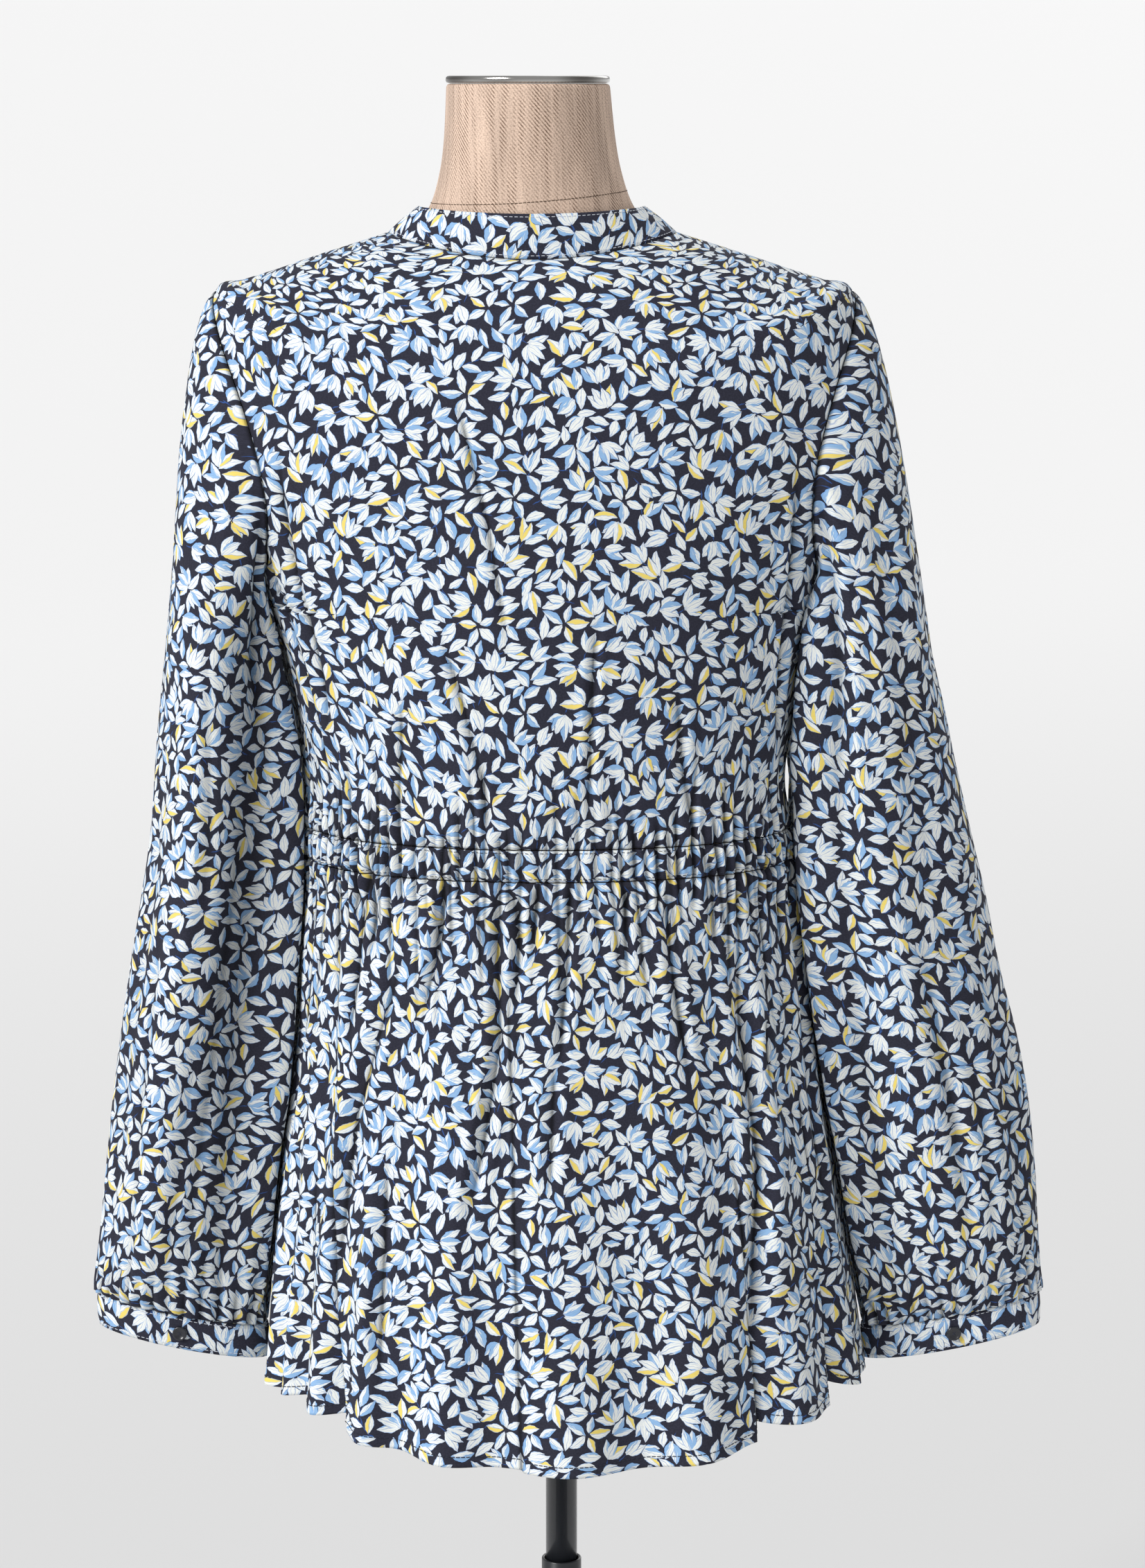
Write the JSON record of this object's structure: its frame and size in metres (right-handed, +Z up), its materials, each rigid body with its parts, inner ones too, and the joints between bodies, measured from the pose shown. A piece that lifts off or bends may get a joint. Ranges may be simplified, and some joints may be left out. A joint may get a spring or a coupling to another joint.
{
  "type": "maternity top on a dress form",
  "caption": "Long-sleeved maternity top with a band collar, gathered waist and flared skirt, worn on a limbless dress form on a pole stand.",
  "frame": {"origin": "centre of the base disc's underside, on the floor", "axes": "+Z up along the pole, -Y towards the front of the top, +X towards the wearer's left"},
  "size_m": [0.5883, 0.3109, 1.3],
  "materials": {
    "leaf_print": "light woven cotton with a white, blue and yellow leaf print on dark navy",
    "linen": "natural linen twill over a padded bust",
    "black_steel": "satin black paint",
    "chrome": "polished",
    "button": "dark navy, glossy"
  },
  "bodies": {
    "stand": {"base_disc": "black_steel", "outer_tube": "black_steel", "clamp_collar": "black_steel", "clamp_knob": "black_steel"},
    "mast": {"mast": "black_steel"},
    "form": {"dress_form": "linen", "neck_cap": "chrome", "back_bodice": "leaf_print", "front_bodice_left": "leaf_print", "front_bodice_right": "leaf_print", "front_placket": "leaf_print", "collar": "leaf_print", "back_casing": "leaf_print", "front_casing": "leaf_print", "back_skirt": "leaf_print", "front_skirt": "leaf_print", "sleeve_left": "leaf_print", "sleeve_right": "leaf_print", "cuff_left": "leaf_print", "cuff_right": "leaf_print", "cuff_button_left": "button", "cuff_button_right": "button", "front_button_1": "button", "front_button_2": "button", "front_button_3": "button", "front_button_4": "button", "front_button_5": "button"}
  },
  "joints": [
    {"name": "height_slide", "type": "slide", "parent": "stand", "child": "mast", "axis": [0, 0, 1], "range_m": [-0.12, 0.16]},
    {"name": "form_swivel", "type": "hinge", "parent": "mast", "child": "form", "pos_m": [0, 0, 0.68], "axis": [0, 0, 1], "continuous": true}
  ]
}
